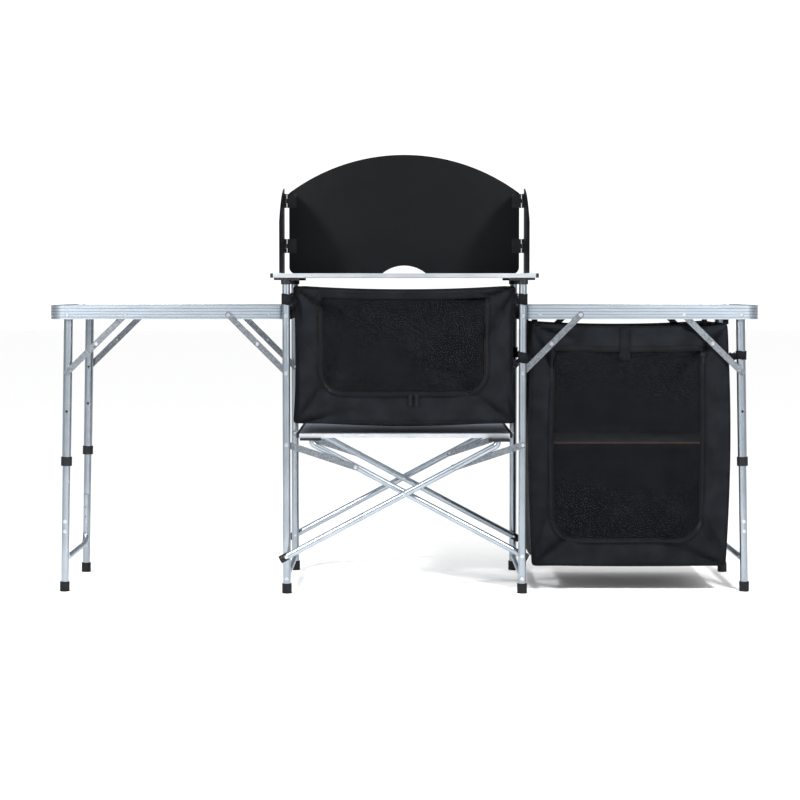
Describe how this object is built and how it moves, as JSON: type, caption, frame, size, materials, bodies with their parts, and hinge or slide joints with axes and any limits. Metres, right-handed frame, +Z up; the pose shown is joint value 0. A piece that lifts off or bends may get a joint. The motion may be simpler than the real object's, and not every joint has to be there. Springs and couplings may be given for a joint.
{
  "type": "camp kitchen table",
  "caption": "Folding aluminium camp kitchen with side tables, hanging cloth cupboards, slatted shelves and a three-sided windscreen.",
  "frame": {"origin": "centre of the footprint, on the floor", "axes": "+X to the user's right along the kitchen, +Y to the rear, +Z up"},
  "size_m": [1.736, 0.4892, 1.0943],
  "materials": {
    "leg_aluminium": "satin",
    "rim_aluminium": "satin",
    "slat_aluminium": "brushed",
    "table_board": "laminated",
    "galvanised_strap": "satin",
    "rivet_steel": "satin",
    "black_plastic": "matte",
    "foot_rubber": "matte",
    "cupboard_cloth": "woven",
    "strap_webbing": "woven",
    "zip_metal": "satin",
    "screen_sheet": "satin",
    "hinge_steel": "satin"
  },
  "bodies": {
    "centre_frame": {"front_left_post": "leg_aluminium", "front_right_post": "leg_aluminium", "rear_left_post": "leg_aluminium", "rear_right_post": "leg_aluminium", "left_stretcher": "leg_aluminium", "right_stretcher": "leg_aluminium", "post_feet": "foot_rubber", "frame_fasteners": "rivet_steel", "front_scissor_outer": "leg_aluminium", "front_scissor_inner": "leg_aluminium", "rear_scissor_outer": "leg_aluminium", "rear_scissor_inner": "leg_aluminium", "scissor_end_caps": "black_plastic", "link_straps": "galvanised_strap", "middle_shelf_slats": "slat_aluminium", "middle_shelf_end_caps": "black_plastic", "middle_shelf_rails": "black_plastic", "left_table_rim": "rim_aluminium", "right_table_rim": "rim_aluminium", "left_table_top": "table_board", "right_table_top": "table_board", "left_inner_braces": "galvanised_strap", "right_inner_braces": "galvanised_strap", "centre_cupboard": "cupboard_cloth", "centre_cupboard_straps": "strap_webbing", "right_cupboard": "cupboard_cloth", "right_cupboard_shelf": "cupboard_cloth", "right_cupboard_straps": "strap_webbing"},
    "left_leg_frame": {"left_front_upper_leg": "leg_aluminium", "left_rear_upper_leg": "leg_aluminium", "left_leg_collars": "black_plastic"},
    "left_lower_leg_frame": {"left_front_lower_leg": "leg_aluminium", "left_rear_lower_leg": "leg_aluminium", "left_u_bar": "leg_aluminium", "left_feet": "foot_rubber", "left_leg_rivets": "rivet_steel"},
    "left_brace_upper": {"left_brace_upper_straps": "galvanised_strap", "left_brace_rivets": "rivet_steel"},
    "left_brace_lower": {"left_brace_lower_straps": "galvanised_strap"},
    "right_leg_frame": {"right_front_upper_leg": "leg_aluminium", "right_rear_upper_leg": "leg_aluminium", "right_leg_collars": "black_plastic"},
    "right_lower_leg_frame": {"right_front_lower_leg": "leg_aluminium", "right_rear_lower_leg": "leg_aluminium", "right_u_bar": "leg_aluminium", "right_feet": "foot_rubber", "right_leg_rivets": "rivet_steel"},
    "right_brace_upper": {"right_brace_upper_straps": "galvanised_strap", "right_brace_rivets": "rivet_steel"},
    "right_brace_lower": {"right_brace_lower_straps": "galvanised_strap"},
    "upper_shelf": {"upper_shelf_slats": "slat_aluminium", "upper_shelf_end_caps": "black_plastic", "upper_shelf_rails": "black_plastic"},
    "windscreen": {"windscreen_panel": "screen_sheet", "windscreen_hinges": "hinge_steel"},
    "left_wing": {"left_wing": "screen_sheet"},
    "right_wing": {"right_wing": "screen_sheet"},
    "left_zip_pull": {"left_zip_pull": "zip_metal"},
    "right_zip_pull": {"right_zip_pull": "zip_metal"},
    "cupboard_zip_pull": {"cupboard_zip_pull": "zip_metal"}
  },
  "joints": [
    {"name": "left_leg_fold", "type": "hinge", "parent": "centre_frame", "child": "left_leg_frame", "pos_m": [-0.823, 0, 0.681], "axis": [0, -1, 0], "range_deg": [0, 50]},
    {"name": "left_leg_extension", "type": "slide", "parent": "left_leg_frame", "child": "left_lower_leg_frame", "axis": [0.022, 0, 0.9998], "range_m": [0, 0.1]},
    {"name": "left_brace_upper_swing", "type": "hinge", "parent": "centre_frame", "child": "left_brace_upper", "pos_m": [-0.682, 0, 0.681], "axis": [0, -1, 0], "range_deg": [-35.48, 0.01]},
    {"name": "left_brace_knee", "type": "hinge", "parent": "left_brace_upper", "child": "left_brace_lower", "pos_m": [-0.75405, 0, 0.61052], "axis": [0, -1, 0], "range_deg": [-0.01, 120.95]},
    {"name": "right_leg_fold", "type": "hinge", "parent": "centre_frame", "child": "right_leg_frame", "pos_m": [0.823, 0, 0.681], "axis": [0, 1, 0], "range_deg": [0, 50], "deforming": ["right_cupboard", "right_cupboard_shelf", "right_cupboard_straps", "cupboard_zip_pull"]},
    {"name": "right_leg_extension", "type": "slide", "parent": "right_leg_frame", "child": "right_lower_leg_frame", "axis": [-0.022, 0, 0.9998], "range_m": [0, 0.1]},
    {"name": "right_brace_upper_swing", "type": "hinge", "parent": "centre_frame", "child": "right_brace_upper", "pos_m": [0.682, 0, 0.681], "axis": [0, 1, 0], "range_deg": [-35.48, 0.01]},
    {"name": "right_brace_knee", "type": "hinge", "parent": "right_brace_upper", "child": "right_brace_lower", "pos_m": [0.75405, 0, 0.61052], "axis": [0, 1, 0], "range_deg": [-0.01, 120.95]},
    {"name": "upper_shelf_lift", "type": "slide", "parent": "centre_frame", "child": "upper_shelf", "axis": [0, 0, 1], "range_m": [0, 0.06]},
    {"name": "windscreen_lift", "type": "slide", "parent": "upper_shelf", "child": "windscreen", "axis": [0, 0, 1], "range_m": [0, 0.06]},
    {"name": "left_wing_fold", "type": "hinge", "parent": "windscreen", "child": "left_wing", "pos_m": [-0.311, 0.206, 0.782], "axis": [0, 0, 1], "range_deg": [0, 88]},
    {"name": "right_wing_fold", "type": "hinge", "parent": "windscreen", "child": "right_wing", "pos_m": [0.311, 0.206, 0.782], "axis": [0, 0, -1], "range_deg": [0, 88]},
    {"name": "left_zip_slide", "type": "slide", "parent": "centre_frame", "child": "left_zip_pull", "axis": [-1, 0, 0], "range_m": [0, 0.15]},
    {"name": "right_zip_slide", "type": "slide", "parent": "centre_frame", "child": "right_zip_pull", "axis": [1, 0, 0], "range_m": [0, 0.15]},
    {"name": "cupboard_zip_slide", "type": "slide", "parent": "centre_frame", "child": "cupboard_zip_pull", "axis": [-1, 0, 0], "range_m": [0, 0.32]}
  ],
  "couplings": [
    {"joint": "left_brace_upper_swing", "follows": "left_leg_fold", "ratio": -0.70938},
    {"joint": "left_brace_knee", "follows": "left_leg_fold", "ratio": 2.4188},
    {"joint": "right_brace_upper_swing", "follows": "right_leg_fold", "ratio": -0.70938},
    {"joint": "right_brace_knee", "follows": "right_leg_fold", "ratio": 2.4188}
  ]
}
